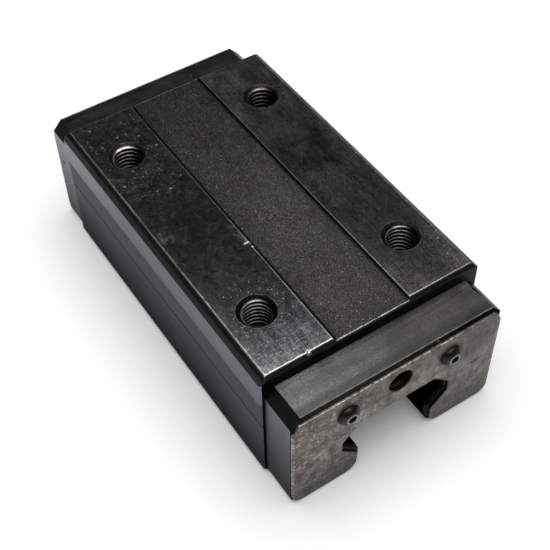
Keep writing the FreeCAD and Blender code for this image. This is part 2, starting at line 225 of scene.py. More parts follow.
    def specks(self, freq, share, size, sx=1.0, sy=1.0):
        """Scattered dots: freq cells per mm, the share of cells that hold one, and its radius in cells."""
        n = self.new("ShaderNodeTexVoronoi")
        n.inputs["Scale"].default_value = 1.0
        wob = self.new("ShaderNodeTexNoise")
        wob.inputs["Scale"].default_value = 1.0
        wob.inputs["Detail"].default_value = 3.0
        self.put(wob.inputs["Vector"], self.at(2.2, 2.2, 2.2))
        shift = self.vec("SCALE", self.vec("SUBTRACT", wob.outputs["Color"], (0.5, 0.5, 0.5)), scale=0.9)
        self.put(n.inputs["Vector"], self.vec("ADD", self.at(freq * sx, freq * sy, freq), shift))
        sep = self.new("ShaderNodeSeparateColor")
        self.put(sep.inputs[0], n.outputs["Color"])
        some = self.rise(sep.outputs[0], 1.0 - share, 1.0 - share + 0.02)
        radius = self.remap(sep.outputs[1], 0.0, 1.0, size * 0.5, size)
        dot = self.f("SUBTRACT", radius, n.outputs["Distance"])
        return self.mul(some, self.f("MULTIPLY", dot, 1.0 / (0.5 * size), clamp=True))

    def hairs(self, deg, along, across, lo, hi):
        """Thin scratches that run at an angle to X; lo and hi set how few there are."""
        c, s = math.cos(math.radians(deg)), math.sin(math.radians(deg))
        u = self.add(self.mul(self.x, c * along), self.mul(self.y, s * along))
        v = self.sub(self.mul(self.y, c * across), self.mul(self.x, s * across))
        return self.remap(self.noise_on(u, v, 0.37 * deg, detail=2.0), lo, hi, 0.0, 1.0)

    def bump(self, height, depth_mm, strength=1.0):
        n = self.new("ShaderNodeBump")
        n.inputs["Strength"].default_value = strength
        n.inputs["Distance"].default_value = depth_mm / 1000.0
        self.put(n.inputs["Height"], height)
        return n.outputs["Normal"]


# ------------------------------------------------------------------ steel body
def body_steel():
    m = Net("ground_steel")
    ax, ay = m.abs(m.x), m.abs(m.y)
    h = m.sub(TOP, m.z)
    anx, any_ = m.abs(m.nx), m.abs(m.ny)
    up = m.rise(m.nz, 0.93, 0.985)
    left = m.rise(m.y, 1.0, -1.0)
    front = m.rise(m.x, -20.0, 46.0)

    hx, hy = m.sub(ax, HOLE_X), m.sub(ay, HOLE_Y)
    hole_r = m.f("SQRT", m.add(m.mul(hx, hx), m.mul(hy, hy)))
    in_hole = m.mul(m.rise(hole_r, 4.83, 4.78), m.rise(m.z, 37.395, 37.385))

    pad = m.mul(m.rise(m.z, 37.2, 37.28), m.rise(ay, 10.2, 10.35))
    band = m.mul(m.rise(m.z, 37.05, 36.95), m.rise(m.z, 36.6, 36.7), m.rise(ay, 10.12, 10.02), up)
    wall = m.mul(m.span(ay, 10.0, 10.3, 0.06), m.rise(m.z, 36.7, 36.8), m.rise(m.nz, 0.97, 0.9))
    slope_y = m.mul(m.rise(any_, 0.4, 0.55), m.rise(m.nz, 0.3, 0.45), m.rise(ay, 27.6, 27.9), m.rise(m.nz, 0.97, 0.92))
    slope_x = m.mul(m.rise(anx, 0.4, 0.55), m.rise(m.nz, 0.3, 0.45), m.rise(ax, 45.2, 45.45), m.rise(m.nz, 0.97, 0.92))
    end = m.mul(m.rise(anx, 0.9, 0.97), m.rise(ax, 46.3, 46.4))
    side = m.mul(m.rise(ay, 28.9, 29.2), m.rise(any_, 0.6, 0.75))
    datum = m.mul(side, m.rise(h, 9.25, 9.1))
    upper = m.mul(side, m.rise(h, 9.1, 9.25), m.rise(h, 17.55, 17.45))
    lower = m.mul(side, m.rise(h, 17.55, 17.65))

    cloud = m.noise(0.075, detail=5.0, rough=0.6)
    patch = m.noise(0.42, detail=5.0, rough=0.65)
    fine = m.noise(1.9, detail=3.0, rough=0.6)
    grain = m.noise(4.4, detail=2.0, rough=0.55)
    brush = m.noise(0.06, 4.2, 1.0, detail=4.0, rough=0.7)
    cross = m.noise(3.6, 0.10, 1.0, detail=3.0, rough=0.65)
    nick = m.noise(0.9, detail=4.0, rough=0.7)

    # ground pads: fine lines both ways under cloudy tarnish, a rubbed front on the left pad with more lines and pale
    # specks
    swirl = m.noise(0.60, detail=6.0, rough=0.68, warp=1.3)
    drag = m.noise(0.05, 0.35, 1.0, detail=5.0, rough=0.62, warp=0.5)
    rubbed = m.rise(m.add(m.x, m.mul(m.sub(cloud, 0.5), 16.0), m.mul(m.sub(swirl, 0.5), 12.0)), 27.0, 44.0)
    front_left = m.mul(left, rubbed)
    rear_left = m.mul(left, m.rise(m.x, -2.0, -16.0))
    # broad tone along each pad; the steep lightening towards the front edge is a painted reflection of the overhead
    # light
    zone_l = m.mul(m.remap(m.x, -44.0, 24.0, 0.78, 0.58), m.remap(m.x, 31.0, 45.0, 1.0, 1.85), m.mixf(rubbed, 1.0, m.remap(m.y, -27.0, -12.0, 0.74, 1.16)))
    zone_r = m.mul(m.remap(m.x, -42.0, 6.0, 1.12, 0.54), m.remap(m.x, 22.0, 45.0, 1.0, 1.36))
    # painted sheen: the pads are painted lighter near their front edge and along their outer edge
    edge_sheen = m.top(m.mul(m.rise(m.sub(45.5, m.x), 2.2, 0.0), 0.30),
                 m.mul(m.rise(m.add(m.sub(28.0, ay), m.mul(m.sub(swirl, 0.5), 4.0)), 3.8, 0.2), m.mixf(left, m.mul(m.rise(m.x, -16.0, 18.0), 0.75), m.mul(m.rise(m.x, 2.0, 34.0), 0.45))))
    # rubbed spots, and the scuffed ring that a washer left round the rear left hole
    spot = m.top(m.blot(m.sub(m.x, -0.2), m.add(m.y, 25.9), 3.4, 2.4), m.blot(m.sub(m.x, 8.6), m.add(m.y, 11.4), 5.6, 1.5))
    spot = m.mul(spot, m.remap(swirl, 0.42, 0.60, 0.0, 1.7))
    turn = m.f("ARCTAN2", hy, hx)
    arcs = m.noise_on(m.add(m.mul(hole_r, 1.3), m.mul(swirl, 2.4)), m.mul(turn, 1.9), 3.0, detail=5.0, rough=0.68)
    ring = m.mul(m.span(hole_r, 6.2, 9.8, 2.2), m.remap(arcs, 0.47, 0.64, 0.0, 1.0), m.top(m.mul(left, m.rise(m.x, 0.0, -1.0), m.rise(m.x, -33.0, -24.0)), 0.10))
    haze = m.mul(rear_left, m.remap(m.noise(0.30, detail=6.0, rough=0.7, warp=0.8), 0.47, 0.64, 0.0, 1.0))
    marks = m.add(1.0, m.mul(spot, 1.9), m.mul(ring, 1.0), m.mul(haze, 0.9))
    lines = m.top(front_left, m.mul(m.inv(left), m.rise(m.x, 8.0, 40.0), 0.30), 0.18)
    mottle = m.remap(m.noise_on(m.add(m.mul(m.x, 0.13), m.mul(swirl, 0.9)), m.mul(m.y, 0.19), 7.7, detail=5.0, rough=0.62), 0.36, 0.64, 0.58, 1.50)
    mottle = m.mixf(m.mul(m.rise(m.x, 12.0, 30.0), 0.65), mottle, 0.94)
    pad_k = m.mul(m.mixf(left, mottle, 1.0), m.mixf(left, m.remap(cloud, 0.34, 0.66, 0.72, 1.26), m.remap(cloud, 0.3, 0.7, 0.74, 1.28)),
                  m.mixf(left, m.remap(swirl, 0.34, 0.66, 0.56, 1.48), m.remap(swirl, 0.34, 0.66, 0.42, 1.64)), m.mixf(left, m.remap(drag, 0.36, 0.64, 0.84, 1.17), m.remap(patch, 0.3, 0.7, 0.78, 1.24)),
                  m.mixf(left, m.remap(fine, 0.3, 0.7, 0.66, 1.38), m.remap(fine, 0.3, 0.7, 0.76, 1.27)), m.mixf(lines, 1.0, m.remap(brush, 0.38, 0.62, 0.52, 1.54)),
                  m.mixf(lines, 1.0, m.remap(cross, 0.40, 0.62, 0.66, 1.44)), m.mixf(left, zone_r, zone_l), m.add(edge_sheen, 1.0), marks)
    pad_color = m.mixc(left, (0.097, 0.094, 0.085), m.mixc(m.rise(m.x, -8.0, 34.0), (0.094, 0.093, 0.087), (0.085, 0.0895, 0.0945)))
    color = m.scaled(pad_color, pad_k)
    rough = m.add(m.mixf(left, m.remap(brush, 0.3, 0.7, 0.21, 0.27), m.remap(brush, 0.3, 0.7, 0.145, 0.185)), m.remap(swirl, 0.3, 0.7, 0.03, -0.01))
    metal = m.remap(patch, 0.2, 0.8, 0.98, 0.92)

    # pale nicks and dark flecks: in clusters round the rear left hole, fine and many over the front of the left pad
    cluster = m.remap(m.noise(0.22, detail=3.0), 0.46, 0.60, 0.12, 1.0)
    dot_a = m.mul(m.specks(0.62, 0.22, 0.24), rear_left, cluster)
    outer = m.remap(m.y, -22.0, -14.0, 1.0, 0.15)
    near = m.mul(left, m.rise(m.x, 6.0, 12.0), m.span(hole_r, 5.0, 8.0, 3.0), 0.9)
    corner_r = m.mul(m.rise(m.y, 22.5, 26.0), m.span(m.x, 34.0, 43.5, 4.0), 1.5)
    dot_b = m.mul(m.specks(1.7, 0.20, 0.36, 0.8, 1.0), m.top(rear_left, m.mul(front_left, outer), near, corner_r, 0.10), cluster)
    dot_c = m.mul(m.specks(2.2, 0.26, 0.44), m.top(m.mul(front_left, outer), m.mul(rear_left, 0.6), near, corner_r, 0.12), m.remap(swirl, 0.42, 0.58, 0.0, 1.0))
    flecks = m.mul(m.specks(1.3, 0.22, 0.36), m.top(front_left, m.mul(rear_left, 0.7), 0.35), pad)
    color = m.mixc(m.mul(flecks, 0.65), color, (0.014, 0.014, 0.014))
    jx = m.add(m.x, m.mul(m.sub(m.noise(1.1, detail=4.0, rough=0.75), 0.5), 2.6))
    jy = m.add(m.y, m.mul(m.sub(m.noise(1.1, detail=4.0, rough=0.75), 0.5), 2.6))
    large = m.top(*[m.blot(m.sub(jx, a), m.sub(jy, b), r * 0.85, r * 0.62) for a, b, r in NICKS])
    dots = m.f("MULTIPLY", m.top(dot_a, dot_b, dot_c, m.mul(large, m.remap(nick, 0.36, 0.56, 0.45, 1.0))), pad, clamp=True)
    color = m.mixc(m.mul(dots, 0.9), color, (0.50, 0.49, 0.47))
    rough = m.mixf(dots, rough, 0.42)

    hairs = m.top(m.hairs(28.0, 0.09, 2.4, 0.60, 0.70), m.hairs(-37.0, 0.11, 2.2, 0.61, 0.70), m.hairs(78.0, 0.10, 2.6, 0.61, 0.70))
    hairs = m.mul(hairs, pad, m.mixf(left, 0.55, 1.0), m.remap(patch, 0.42, 0.60, 0.10, 1.0))
    color = m.mixc(m.mul(hairs, 0.45), color, (0.24, 0.24, 0.23))

    scuff = m.top(m.specks(0.75, 0.24, 0.34, 0.5, 1.5), m.mul(m.specks(0.9, 0.22, 0.32, 1.5, 0.55), 0.9))
    scuff = m.mul(scuff, pad, m.top(m.mul(rear_left, m.remap(m.x, -44.0, -4.0, 1.0, 0.5)), 0.22), m.remap(patch, 0.42, 0.58, 0.15, 1.0))
    color = m.mixc(m.mul(scuff, 0.62), color, (0.36, 0.355, 0.34))
    rough = m.mixf(m.mul(scuff, 0.6), rough, 0.40)

    # recessed band: fine cast-like grain
    band_k = m.mul(m.remap(grain, 0.41, 0.71, 0.46, 2.10), m.remap(fine, 0.3, 0.7, 0.70, 1.32), m.remap(patch, 0.3, 0.7, 0.82, 1.2), m.remap(cloud, 0.3, 0.7, 0.80, 1.22),
                   m.remap(m.x, -46.0, -8.0, 0.62, 1.0), m.remap(ay, 4.5, 9.6, 1.06, 0.80))
    color = m.mixc(band, color, m.scaled((0.050, 0.0485, 0.044), band_k))
    dots = m.mul(m.top(m.specks(1.7, 0.24, 0.34), m.specks(2.9, 0.22, 0.42), m.mul(m.specks(0.6, 0.05, 0.20), 1.0)), band)
    color = m.mixc(m.mul(dots, m.remap(swirl, 0.44, 0.58, 0.25, 1.0), 0.85), color, (0.36, 0.35, 0.325))
    rough = m.mixf(band, rough, m.remap(grain, 0.3, 0.7, 0.42, 0.56))
    # the band painted near-black in the corners against the pad walls
    band_corner_dark = m.mul(band, m.rise(m.add(ay, m.mul(m.sub(nick, 0.5), 0.5)), 9.38, 9.66), m.mixf(left, 0.6, 0.95))
    color = m.mixc(band_corner_dark, color, (0.004, 0.004, 0.004))
    # painted shade: the short step walls between pads and band are painted near-black
    color = m.mixc(wall, color, (0.008, 0.008, 0.009))
    rough = m.mixf(wall, rough, 0.6)

    # sloped edges: dark scale with a brown cast
    scale_k = m.mul(m.remap(patch, 0.3, 0.7, 0.7, 1.4), m.remap(fine, 0.3, 0.7, 0.8, 1.25))
    color = m.mixc(slope_y, color, m.scaled((0.023, 0.0188, 0.0168), scale_k))
    rough = m.mixf(slope_y, rough, m.remap(fine, 0.3, 0.7, 0.46, 0.58))
    color = m.mixc(slope_x, color, m.scaled((0.030, 0.029, 0.027), scale_k))
    rough = m.mixf(slope_x, rough, m.remap(fine, 0.3, 0.7, 0.40, 0.52))
    # painted shade: the body's end faces are painted darkest on the left, where the gap to the cap shades them, and
    # lighter on the right as a painted reflection of the floor
    color = m.mixc(end, color, m.scaled(m.mixc(left, (0.023, 0.024, 0.027), (0.010, 0.010, 0.011)), scale_k))
    rough = m.mixf(end, rough, m.remap(patch, 0.3, 0.7, 0.36, 0.48))

    # sides: ground datum band, then darker bands below it
    streak = m.noise(0.035, 1.0, 1.5, detail=4.0, rough=0.6)
    side_k = m.mul(m.remap(streak, 0.3, 0.7, 0.86, 1.16), m.remap(patch, 0.3, 0.7, 0.9, 1.1))
    behind = m.remap(m.x, -46.0, -14.0, 1.0, 0.0)
    # painted shade: each side band is painted darker towards the bottom, standing in for the floor's shadow seen in
    # the side
    color = m.mixc(datum, color, m.scaled((0.136, 0.1435, 0.154), m.mul(side_k, m.add(1.0, m.mul(behind, 0.50)), m.remap(h, 5.5, 9.0, 1.0, 0.80))))
    rough = m.mixf(datum, rough, m.remap(streak, 0.3, 0.7, 0.26, 0.34))
    color = m.mixc(upper, color, m.scaled((0.056, 0.0575, 0.063), m.mul(side_k, m.remap(h, 10.0, 17.0, 1.04, 0.96))))
    rough = m.mixf(upper, rough, m.remap(streak, 0.3, 0.7, 0.38, 0.46))
    color = m.mixc(lower, color, m.scaled((0.0270, 0.0285, 0.0385), m.mul(side_k, m.remap(h, 18.5, 33.0, 1.46, 0.30), m.add(1.0, m.mul(behind, 0.42), m.mul(m.rise(m.x, 24.0, 42.0), 0.48)))))
    rough = m.mixf(lower, rough, m.add(m.remap(h, 18.0, 33.0, 0.40, 0.55), m.remap(streak, 0.3, 0.7, -0.04, 0.05)))
    line = m.mul(m.span(h, 17.45, 17.75, 0.04), m.rise(ay, 28.9, 29.2))
    color = m.mixc(line, color, (0.006, 0.006, 0.007))
    metal = m.mixf(m.top(upper, lower, slope_y, slope_x, end), metal, 1.0)

    # painted highlight along the edges of the pads and the band and at the top corners, where the small rounded edges
    # would catch the light
    ragged = m.remap(nick, 0.35, 0.65, 0.0, 0.34)
    to_front = m.sub(45.5, ax)
    edge_f = m.mul(m.rise(m.sub(to_front, ragged), 0.12, -0.05), pad)
    edge_f = m.mul(edge_f, m.mixf(front, 0.35, 1.0), m.mixf(left, m.remap(m.y, 11.0, 26.0, 0.44, 0.24), 0.80))
    edge_in = m.mul(m.rise(m.sub(m.sub(ay, 10.4), m.mul(ragged, 0.4)), 0.26, 0.12), m.rise(m.z, 37.12, 37.2), m.rise(ay, 10.25, 10.35))
    edge_out = m.mul(m.rise(m.sub(m.sub(28.0, ay), m.mul(ragged, 0.6)), 0.10, -0.04), m.rise(m.z, 37.1, 37.25))
    edge_band = m.mul(m.rise(m.sub(m.sub(46.1, ax), m.mul(ragged, 0.6)), 0.12, -0.02), m.rise(ay, 10.05, 9.9), m.rise(m.z, 36.55, 36.7), m.rise(m.z, 36.95, 36.85))
    along = m.remap(m.noise(0.25, detail=4.0, rough=0.7), 0.3, 0.7, 0.3, 1.0)
    edge_highlight = m.top(edge_f, m.mul(edge_in, m.add(m.mul(along, 0.6), 0.20), m.mixf(left, 0.22, m.remap(m.x, -40.0, 8.0, 0.45, 1.0))), m.mul(edge_out, along, 0.8), m.mul(edge_band, along, m.remap(nick, 0.40, 0.60, 0.40, 1.0), 0.85))
    corner = m.mul(m.rise(m.add(anx, any_), 0.9, 1.0), m.rise(m.nz, 0.45, 0.6), m.rise(ax, 45.2, 45.6), m.rise(ay, 27.5, 28.0), 0.35)
    edge_highlight = m.top(edge_highlight, corner)
    # the knocks on the pad edges and the short score show clean metal
    k1 = m.blot(m.sub(m.x, 45.6), m.add(m.y, 16.9), 0.95, 0.85)
    k2 = m.mul(m.blot(m.sub(m.x, 11.7), m.add(m.y, 10.9), 0.62, 1.3), 0.75)
    k3 = m.mul(m.blot(m.sub(m.x, 13.5), m.add(m.y, 10.5), 0.55, 0.45), 0.8)
    knock = m.mul(m.top(k1, k2, k3), m.rise(m.z, 36.7, 36.8))
    color = m.mixc(edge_highlight, color, (0.56, 0.55, 0.51))
    color = m.mixc(m.mul(knock, 0.9), color, (0.66, 0.64, 0.59))
    rough = m.mixf(m.top(edge_highlight, knock), rough, 0.36)
    metal = m.mixf(m.top(edge_highlight, knock), metal, 1.0)

    # tapped holes: oily dark mouths, and walls painted darker further down as painted shade inside the holes
    mouth = m.mul(in_hole, m.rise(m.z, 36.55, 36.7))
    hole_c = m.mixc(mouth, m.mixc(m.rise(m.z, 30.5, 28.5), (0.030, 0.029, 0.027), (0.004, 0.004, 0.004)),
                    m.mixc(m.mul(left, m.rise(m.x, -1.0, 1.0)), (0.050, 0.048, 0.045), (0.020, 0.020, 0.021)))
    color = m.mixc(in_hole, color, m.scaled(hole_c, m.remap(fine, 0.3, 0.7, 0.7, 1.4)))
    rough = m.mixf(in_hole, rough, 0.34)
    # painted highlight: a thin light line round the outer edge of each mouth
    rim = m.mul(m.span(hole_r, 4.66, 4.84, 0.06), m.rise(m.z, 37.15, 37.25), m.remap(nick, 0.44, 0.62, 0.0, 0.55))
    color = m.mixc(rim, color, (0.40, 0.39, 0.37))

    # inside the rail channel: oily steel
    inside = m.mul(m.rise(ay, 17.5, 17.0), m.rise(m.z, 21.5, 21.0), m.inv(end))
    color = m.mixc(inside, color, m.scaled((0.05, 0.047, 0.042), m.remap(patch, 0.3, 0.7, 0.6, 1.3)))
    rough = m.mixf(inside, rough, m.remap(fine, 0.3, 0.7, 0.28, 0.42))
    under = m.rise(m.nz, -0.8, -0.95)
    color = m.mixc(under, color, m.scaled((0.10, 0.10, 0.10), m.mul(side_k, m.remap(cross, 0.3, 0.7, 0.8, 1.2))))

    relief = m.mixf(m.mul(pad, left), 0.35, 0.13)
    height = m.add(m.mul(brush, relief, m.inv(band)), m.mul(grain, m.mixf(band, m.mul(relief, 0.35), 1.0)), m.mul(fine, m.mul(relief, 0.6)))
    return m.set(color=color, metal=metal, rough=rough, normal=m.bump(height, 0.012, 0.8), spec=0.45, tint=(0.64, 0.64, 0.66))


# ------------------------------------------------------------------ threads
def thread_steel():
    m = Net("thread_steel")
    ax, ay = m.abs(m.x), m.abs(m.y)
    hx, hy = m.sub(ax, HOLE_X), m.sub(ay, HOLE_Y)
    r = m.f("SQRT", m.add(m.mul(hx, hx), m.mul(hy, hy)))
    fine = m.noise(2.0, detail=3.0)
    patch = m.noise(0.5, detail=4.0)
    rear = m.rise(m.x, 1.0, -1.0)
    right = m.rise(m.y, -1.0, 1.0)
    # painted light in the threads: each hole has a brightness of its own; walls are darker further down the hole
    # (painted shade); a painted glint sits on the far left of each wall and on the first turn; crests are painted
    # light and roots near-black (painted highlight and shade)
    hole_shine = m.mixf(rear, m.mixf(right, 0.85, 0.58), m.mixf(right, 0.52, 0.24))
    depth_shade = m.mixf(rear, m.remap(m.z, 29.0, 36.6, 0.45, 1.0), m.remap(m.z, 32.0, 36.3, 0.30, 1.0))
    first_turn_glint = m.mul(m.rise(m.z, 35.6, 36.0), m.mixf(rear, 0.5, 1.0))
    dx = m.sub(m.x, m.mul(m.f("SIGN", m.x), HOLE_X))
    dy = m.sub(m.y, m.mul(m.f("SIGN", m.y), HOLE_Y))
    turn = m.remap(m.add(m.mul(dx, -0.9), m.mul(dy, -0.35)), -2.0, 3.4, m.mixf(m.top(rear, right), 0.60, 0.25), 1.35)
    k = m.mul(m.remap(r, 3.38, m.mixf(first_turn_glint, 3.60, 3.95), 1.0, 0.02), m.remap(patch, 0.3, 0.7, 0.4, 1.35), hole_shine, depth_shade, turn, m.add(first_turn_glint, 1.0))
    color = m.scaled((0.62, 0.59, 0.55), k)
    return m.set(color=color, metal=1.0, rough=m.remap(fine, 0.3, 0.7, 0.24, 0.38), normal=m.bump(fine, 0.01, 0.6))


def make_thread(name, cx, cy, mat):
    """M8 x 1.25 internal thread: a closed ridge wound down the hole's wall, running out at both ends."""
    pitch, seg = 1.25, 72
    z0, z1 = 36.85, 27.9
    root, crest = 4.02, 3.33
    turns = (z0 - z1) / pitch
    count = int(turns * seg)
    # half profile as (height share, offset along the hole)
    prof = [(0.0, 0.585), (0.30, 0.40), (0.88, 0.150), (1.0, 0.075), (1.0, -0.075), (0.88, -0.150), (0.30, -0.40), (0.0, -0.585)]
    verts, faces = [], []
    for i in range(count + 1):
        a = 2.0 * math.pi * i / seg + 0.6
        z = z0 - pitch * i / seg
        fade = min(1.0, i / (0.35 * seg), (count - i) / (0.6 * seg))
        fade = max(0.04, fade * fade * (3.0 - 2.0 * fade))
        for s, dz in prof:
            r = root - (root - crest) * s * fade
            verts.append(((cx + r * math.cos(a)) / 1000.0, (cy + r * math.sin(a)) / 1000.0, (z + dz * (0.25 + 0.75 * fade)) / 1000.0))
    n = len(prof)
    for i in range(count):
        for j in range(n):
            k = (j + 1) % n
            faces.append((i * n + j, (i + 1) * n + j, (i + 1) * n + k, i * n + k))
    faces.append(tuple(range(n)))
    faces.append(tuple(count * n + j for j in reversed(range(n))))
    mesh = bpy.data.meshes.new(name)
    mesh.from_pydata(verts, [], faces)
    mesh.polygons.foreach_set("use_smooth", [True] * len(mesh.polygons))
    mesh.set_sharp_from_angle(angle=math.radians(62.0))
    mesh.materials.append(mat)
    ob = bpy.data.objects.new(name, mesh)
    scene.collection.objects.link(ob)
    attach(ob, "block")
    return ob


# ------------------------------------------------------------------ end caps
def cap_plastic():
    m = Net("cap_plastic")
    ax, ay = m.abs(m.x), m.abs(m.y)
    h = m.sub(TOP, m.z)
    up = m.rise(m.nz, 0.9, 0.97)
    out = m.rise(m.abs(m.nx), 0.9, 0.97)
    side = m.rise(m.abs(m.ny), 0.9, 0.97)
    patch = m.noise(0.16, 0.12, 0.16, detail=5.0, rough=0.6)
    wipe = m.noise(0.9, 0.06, 0.5, detail=4.0, rough=0.65)
    fine = m.noise(2.2, detail=3.0)
    speck = m.specks(0.55, 0.10, 0.25)
    k = m.mul(m.remap(patch, 0.3, 0.7, 0.55, 1.55), m.remap(wipe, 0.3, 0.7, 0.76, 1.26), m.remap(fine, 0.34, 0.66, 0.58, 1.46))
    # the front cap's top is painted lighter towards the left, a painted reflection of the overhead light; the rear
    # cap's top is painted darker, a painted shade
    pale = m.mul(m.rise(m.x, 0.0, 1.0), m.rise(m.add(m.y, m.mul(m.sub(patch, 0.5), 14.0)), 8.0, -24.0))
    top_c = m.mixc(pale, (0.035, 0.0332, 0.0288), (0.079, 0.080, 0.081))
    top_c = m.mixc(m.rise(m.x, 1.0, 0.0), top_c, (0.0075, 0.0068, 0.0055))
    # painted light: the top is lightened next to the body's end face, which shades it; it also darkens towards the
    # front edge and has a paler rub streak near x = 53
    color = m.scaled(top_c, m.mul(k, m.remap(ax, 46.8, 48.8, 1.75, 1.0), m.remap(ax, 53.2, 54.6, 1.0, 0.50), m.add(1.0, m.mul(m.span(m.x, 52.2, 53.4, 0.9), m.rise(m.y, 10.0, 0.0), 0.30))))
    # sides: painted darker towards the bottom, a painted shade; the rear cap's side is painted lighter than the front
    # cap's, painted light
    high = m.remap(h, 8.0, 33.0, 1.0, 0.0)
    far = m.rise(m.x, 1.0, 0.0)
    side_c = m.scaled((0.032, 0.033, 0.057), m.mul(k, m.add(m.mul(high, 0.95), 0.05), m.mixf(far, 1.0, 2.3)))
    color = m.mixc(side, color, side_c)
    rough = m.add(m.remap(wipe, 0.3, 0.7, 0.22, 0.38), m.remap(patch, 0.3, 0.7, -0.05, 0.07))
    rough = m.mixf(side, rough, m.add(m.remap(high, 0.0, 1.0, m.mixf(far, 0.80, 0.62), m.mixf(far, 0.40, 0.34)), m.remap(patch, 0.3, 0.7, -0.05, 0.05)))
    slope = m.mul(m.inv(m.top(up, out, side)), m.rise(h, 9.0, 7.3), m.rise(ay, 25.8, 26.2))
    slope_r = m.mul(slope, m.rise(m.y, 0.0, 1.0))
    black = m.top(m.rise(m.abs(m.nx), 0.3, 0.6), slope_r)
    color = m.mixc(slope, color, m.scaled((0.004, 0.004, 0.0042), k))
    rough = m.mixf(slope, rough, 0.24)
    color = m.mixc(slope_r, color, m.scaled((0.022, 0.0215, 0.0195), k))
    color = m.mixc(m.rise(m.abs(m.nx), 0.3, 0.6), color, m.scaled((0.026, 0.0255, 0.0235), m.mul(k, m.remap(m.y, 6.0, 18.0, 1.0, 0.5))))
    rough = m.mixf(out, rough, m.remap(fine, 0.3, 0.7, 0.5, 0.62))
    color = m.mixc(m.mul(speck, 0.25, up), color, (0.22, 0.22, 0.21))
    off = m.add(m.sub(m.y, 1.67), m.mul(m.sub(m.x, 48.85), 0.68))
    color = m.scaled(color, m.mixf(m.mul(up, m.rise(m.x, 0.0, 1.0)), 1.0, m.remap(off, -0.8, 0.5, 1.07, 0.94)))
    sx, sy = m.sub(m.x, 53.6), m.add(m.y, 10.0)
    score = m.blot(m.add(m.mul(sx, -0.26), m.mul(sy, 0.965)), m.add(m.mul(sx, 0.965), m.mul(sy, 0.26)), 1.6, 0.15)
    nick = m.mul(m.blot(m.sub(m.y, 10.45), m.sub(h, 4.75), 0.32, 0.5), m.rise(m.x, 55.9, 56.1))
    color = m.mixc(m.mul(m.top(score, nick), 0.75), color, (0.24, 0.24, 0.235))
    # painted shadow in the chip at the right edge
    chip = m.mul(m.rise(m.nz, 0.5, 0.8), m.rise(h, 4.4, 4.6), m.rise(h, 5.2, 5.0), m.rise(m.y, 25.0, 25.5))
    color = m.mixc(m.mul(chip, 0.95), color, (0.003, 0.003, 0.003))
    black = m.top(black, chip)
    # a darker strip along the joint to the body, and a painted highlight along the thin front edge
    joint = m.mul(up, m.rise(m.sub(ax, END), 0.55, 0.15))
    color = m.mixc(m.mul(joint, 0.35), color, (0.008, 0.008, 0.0075))
    front_edge_glint = m.mul(m.span(m.sub(CAP, ax), 0.16, 0.42, 0.12), up, m.remap(m.noise(0.5, detail=4.0), 0.38, 0.56, 0.25, 1.0))
    color = m.mixc(m.mul(front_edge_glint, 0.75), color, (0.17, 0.17, 0.165))
    # painted shade: the cap's faces inside the rail opening are painted near-black
    inner_shade = m.mul(m.rise(ay, 18.6, 18.0), m.rise(m.z, 21.6, 21.0), m.inv(out))
    color = m.mixc(inner_shade, color, m.scaled((0.0035, 0.0035, 0.0033), k))
    black = m.top(black, inner_shade)
    # the port's inside painted near-black as painted shade, with grease left at its bottom
    py, pz = m.y, m.sub(m.z, TOP - 10.65)
    port_r = m.f("SQRT", m.add(m.mul(py, py), m.mul(pz, pz)))
    port = m.mul(m.rise(port_r, 2.75, 2.62), m.rise(ax, 47.0, 47.6))
    crescent = m.mul(m.rise(ax, 55.0, 55.9), m.rise(pz, -0.9, -1.8), m.rise(m.mul(m.y, m.f("SIGN", m.x)), 1.9, 0.4), m.remap(m.noise(0.9), 0.35, 0.6, 0.4, 1.0))
    color = m.mixc(port, color, m.mixc(crescent, (0.004, 0.0038, 0.0032), (0.075, 0.058, 0.014)))
    rough = m.mixf(port, rough, 0.25)
    height = m.add(m.mul(fine, 0.5), m.mul(wipe, 0.6))
    return m.set(color=color, metal=black, rough=rough, spec=0.95, tint=(0.4, 0.4, 0.4), normal=m.bump(height, 0.010, 0.8))


